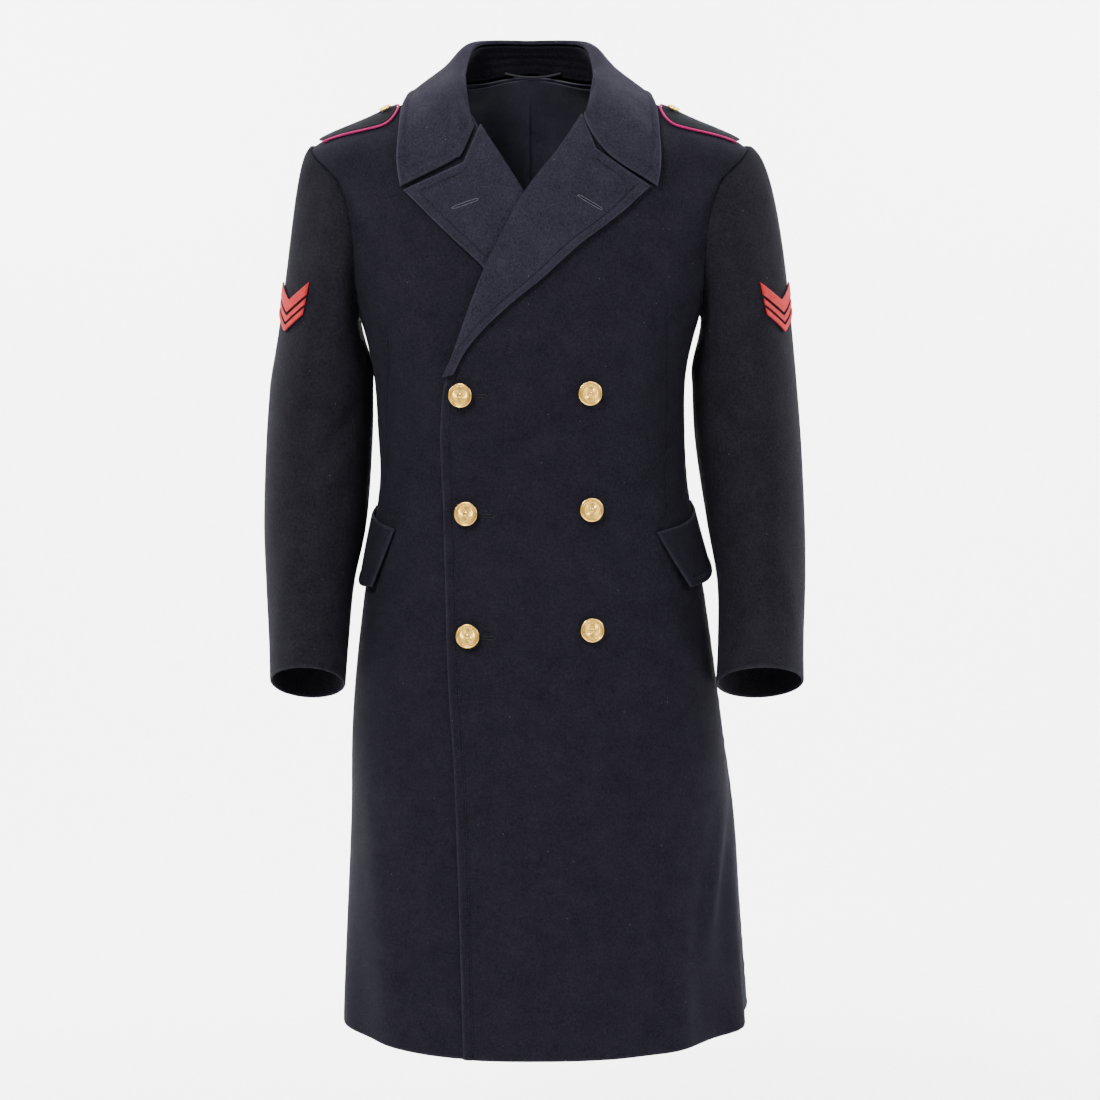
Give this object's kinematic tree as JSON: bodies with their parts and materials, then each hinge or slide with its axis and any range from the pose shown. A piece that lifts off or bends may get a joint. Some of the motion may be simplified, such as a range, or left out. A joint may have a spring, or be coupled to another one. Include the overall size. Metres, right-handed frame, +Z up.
{
  "type": "police uniform overcoat",
  "caption": "Long double-breasted wool greatcoat in its worn form, hollow, with notched lapels, flapped pockets, piped shoulder straps, sleeve stripes and gilt buttons.",
  "frame": {"origin": "middle of the neck opening, where the wearer's shoulders carry the coat", "axes": "+Z up the wearer, front of the coat faces -Y, the wearer's left is +X"},
  "size_m": [0.592, 0.3677, 1.0805],
  "materials": {
    "back_left": "heavy dark navy wool",
    "back_lining": "dark satin lining",
    "back_right": "heavy dark navy wool",
    "button_left_1": "gilt metal with a raised rim",
    "button_left_2": "gilt metal with a raised rim",
    "button_left_3": "gilt metal with a raised rim",
    "button_right_1": "gilt metal with a raised rim",
    "button_right_2": "gilt metal with a raised rim",
    "button_right_3": "gilt metal with a raised rim",
    "chevron_left": "red braid",
    "chevron_right": "red braid",
    "collar": "heavy dark navy wool",
    "collar_stand": "heavy dark navy wool",
    "flap_left": "heavy dark navy wool",
    "flap_right": "heavy dark navy wool",
    "front_left": "heavy dark navy wool",
    "front_right": "heavy dark navy wool",
    "hanger_loop": "cord",
    "lapel_left": "heavy dark navy wool",
    "lapel_right": "heavy dark navy wool",
    "piping_left": "crimson cord",
    "piping_right": "crimson cord",
    "sleeve_left_top": "heavy dark navy wool",
    "sleeve_left_under": "heavy dark navy wool",
    "sleeve_right_top": "heavy dark navy wool",
    "sleeve_right_under": "heavy dark navy wool",
    "strap_button_left": "gilt metal with a raised rim",
    "strap_button_right": "gilt metal with a raised rim",
    "strap_left": "black felt",
    "strap_right": "black felt"
  },
  "bodies": {
    "root": {"back_left": "back_left", "back_lining": "back_lining", "back_right": "back_right", "button_left_1": "button_left_1", "button_left_2": "button_left_2", "button_left_3": "button_left_3", "button_right_1": "button_right_1", "button_right_2": "button_right_2", "button_right_3": "button_right_3", "chevron_left": "chevron_left", "chevron_right": "chevron_right", "collar": "collar", "collar_stand": "collar_stand", "flap_left": "flap_left", "flap_right": "flap_right", "front_left": "front_left", "front_right": "front_right", "hanger_loop": "hanger_loop", "lapel_left": "lapel_left", "lapel_right": "lapel_right", "piping_left": "piping_left", "piping_right": "piping_right", "sleeve_left_top": "sleeve_left_top", "sleeve_left_under": "sleeve_left_under", "sleeve_right_top": "sleeve_right_top", "sleeve_right_under": "sleeve_right_under", "strap_button_left": "strap_button_left", "strap_button_right": "strap_button_right", "strap_left": "strap_left", "strap_right": "strap_right"}
  },
  "joints": []
}
